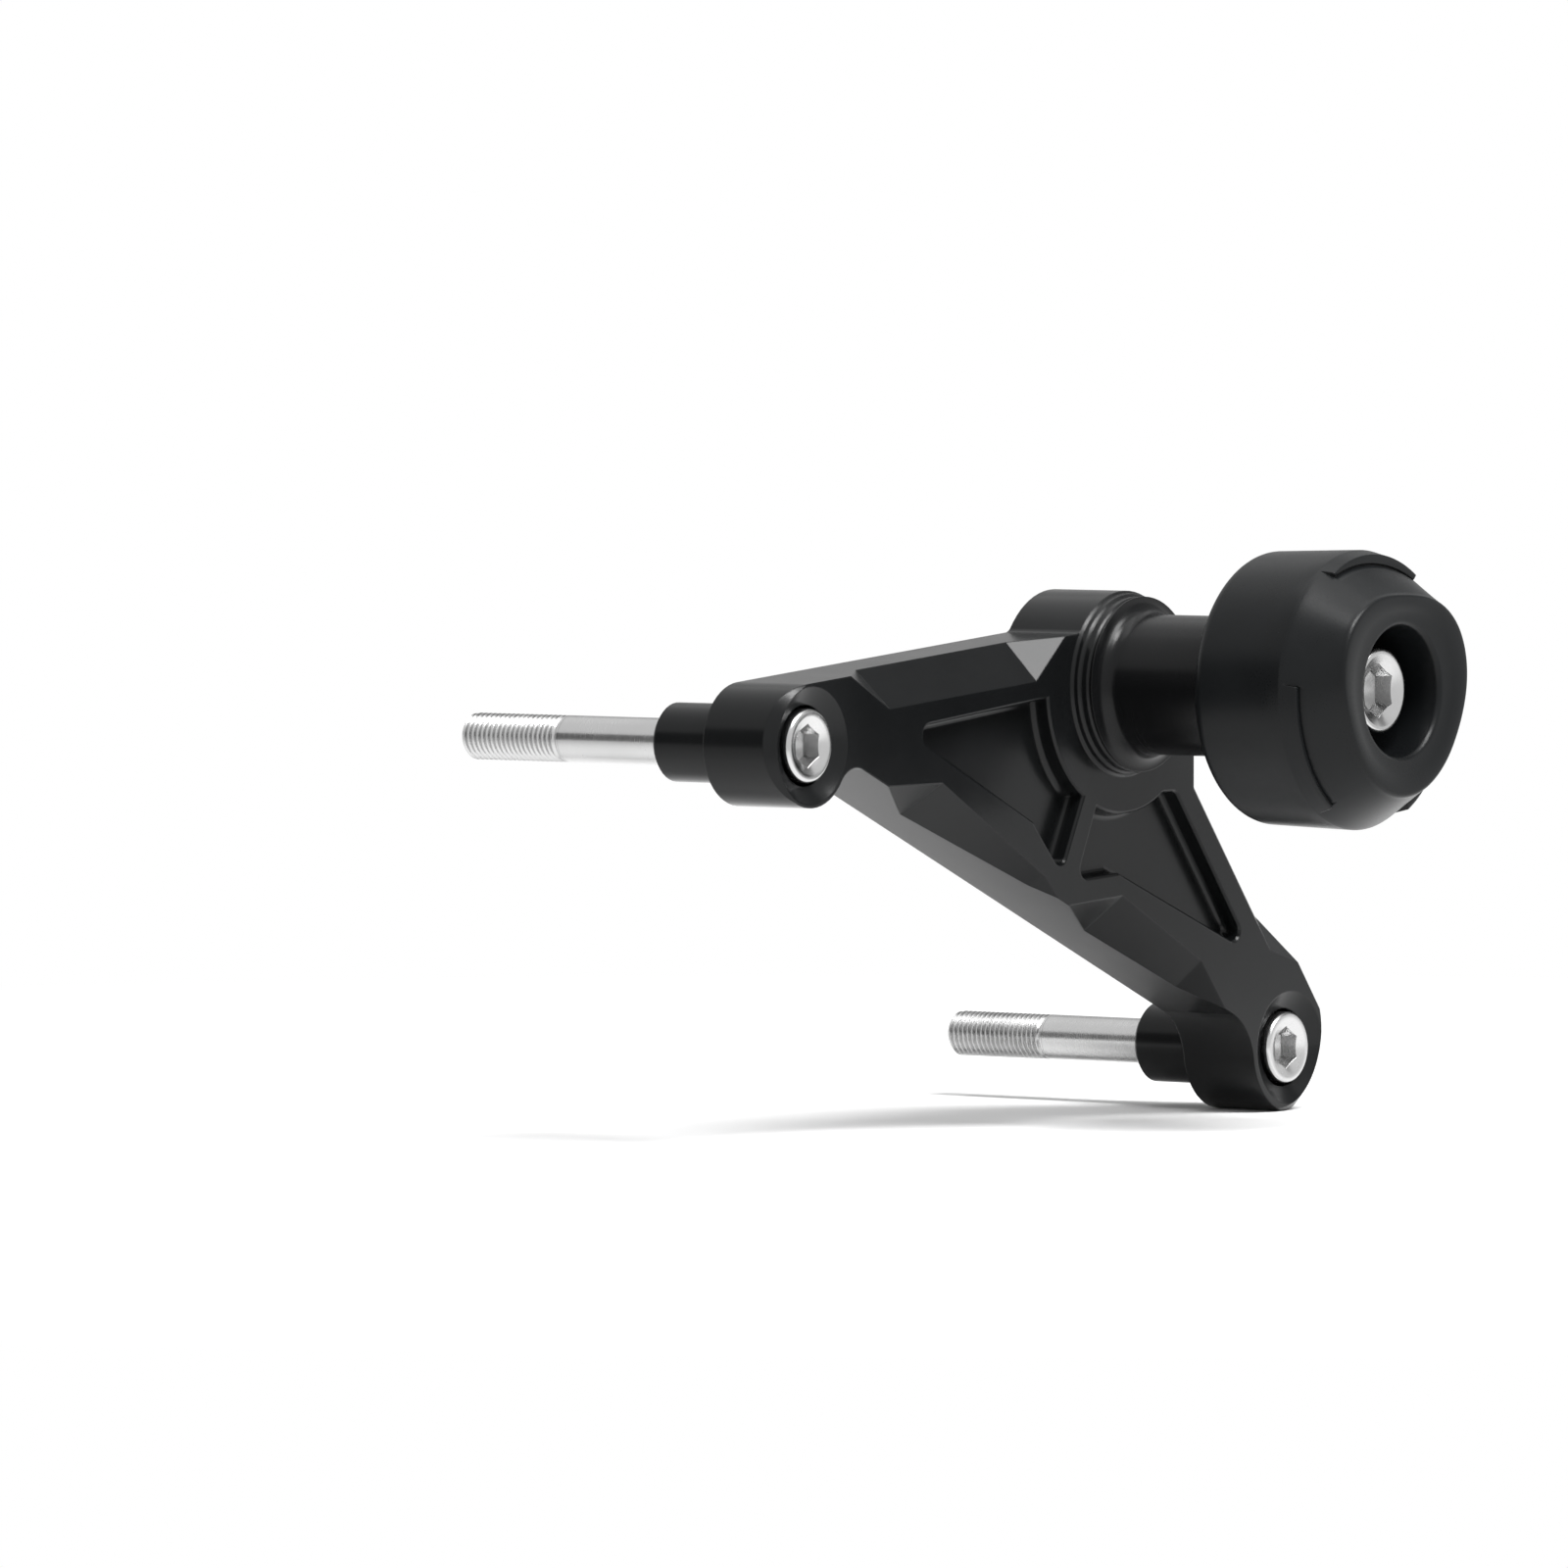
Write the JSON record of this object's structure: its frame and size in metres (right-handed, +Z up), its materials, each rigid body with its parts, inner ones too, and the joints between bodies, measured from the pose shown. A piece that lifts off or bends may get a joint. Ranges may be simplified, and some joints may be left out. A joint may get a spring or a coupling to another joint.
{
  "type": "motorcycle frame slider",
  "caption": "Bolt-on crash protector: machined dark bracket with pockets and bevels, a post carrying a stepped black plastic puck, and socket head cap screws.",
  "frame": {"origin": "on the front screw's axis at the inboard end face of the front sleeve", "axes": "+Z up as mounted, +Y along the screws toward the motorcycle frame, +X from the front boss to the lower boss"},
  "size_m": [0.2016, 0.1648, 0.1254],
  "materials": {
    "anodised": "satin black anodised",
    "plastic": "matte black",
    "insert_metal": "bright turned",
    "screw_steel": "bright zinc plated"
  },
  "bodies": {
    "root": {"bracket": "anodised", "slider_post": "anodised", "puck": "plastic", "puck_insert": "insert_metal", "puck_bolt": "screw_steel", "front_bolt": "screw_steel", "lower_bolt": "screw_steel"}
  },
  "joints": []
}
